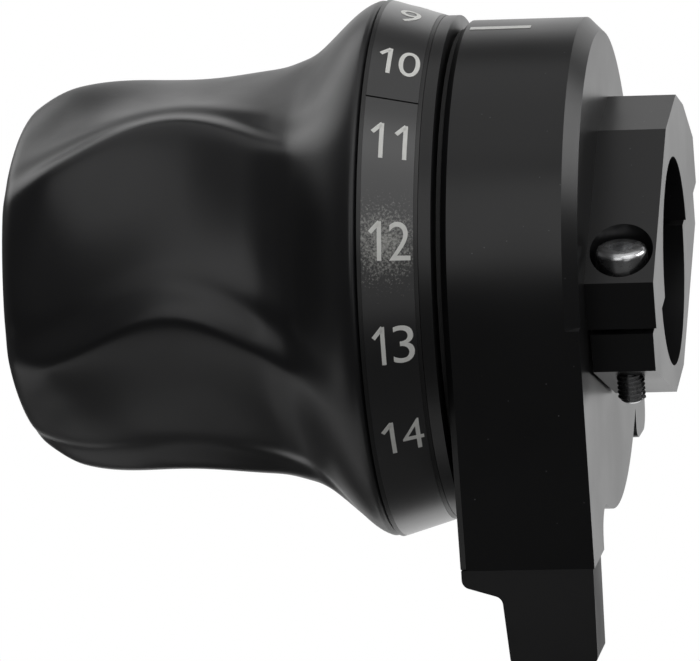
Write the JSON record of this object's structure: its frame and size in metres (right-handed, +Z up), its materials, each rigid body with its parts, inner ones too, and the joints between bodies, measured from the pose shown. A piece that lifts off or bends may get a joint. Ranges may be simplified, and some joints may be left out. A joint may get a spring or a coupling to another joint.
{
  "type": "twist grip shifter",
  "caption": "Bicycle twist grip shifter: lobed rubber grip and numbered dial turning a cable drum in a black housing with a split bar clamp and cable outlets.",
  "frame": {"origin": "on the handlebar's axis, at the outer face of the clamp", "axes": "+X along the handlebar, out of the clamp; +Z up; -Y towards the reader of the dial"},
  "size_m": [0.0703, 0.0578, 0.0707],
  "materials": {
    "black_anodised": "satin black anodising",
    "steel": "bright zinc",
    "dark_steel": "dark spring and screw steel",
    "brass": "turned",
    "bare_aluminium": "drawn tube",
    "white_polymer": "bearing polymer",
    "seal_rubber": "matt",
    "grip_rubber": "satin black rubber",
    "core_moulding": "black moulding",
    "drum_moulding": "dark grey moulding",
    "black_moulding": "matt black moulding",
    "label": "glossy printed film, scuffed"
  },
  "bodies": {
    "fixed": {"housing": "black_anodised", "clamp_cap": "black_anodised", "clamp_screws": "steel", "cable_cap": "black_moulding", "cap_screw": "dark_steel", "front_cable_stop": "brass", "rear_cable_stop": "brass", "inner_sleeve": "bare_aluminium", "retaining_ring": "dark_steel", "outer_thrust_washer": "white_polymer", "inner_thrust_washer": "white_polymer", "dust_seal": "seal_rubber"},
    "twist_grip": {"grip_rubber": "grip_rubber", "grip_core": "core_moulding", "outer_bush": "white_polymer", "inner_bush": "white_polymer", "number_ring": "core_moulding", "dial_label": "label", "cable_drum": "drum_moulding", "drum_screws": "dark_steel"}
  },
  "joints": [
    {"name": "grip_twist", "type": "hinge", "parent": "fixed", "child": "twist_grip", "pos_m": [-0.04, 0, 0], "axis": [1, 0, 0], "range_deg": [-113, 181]}
  ]
}
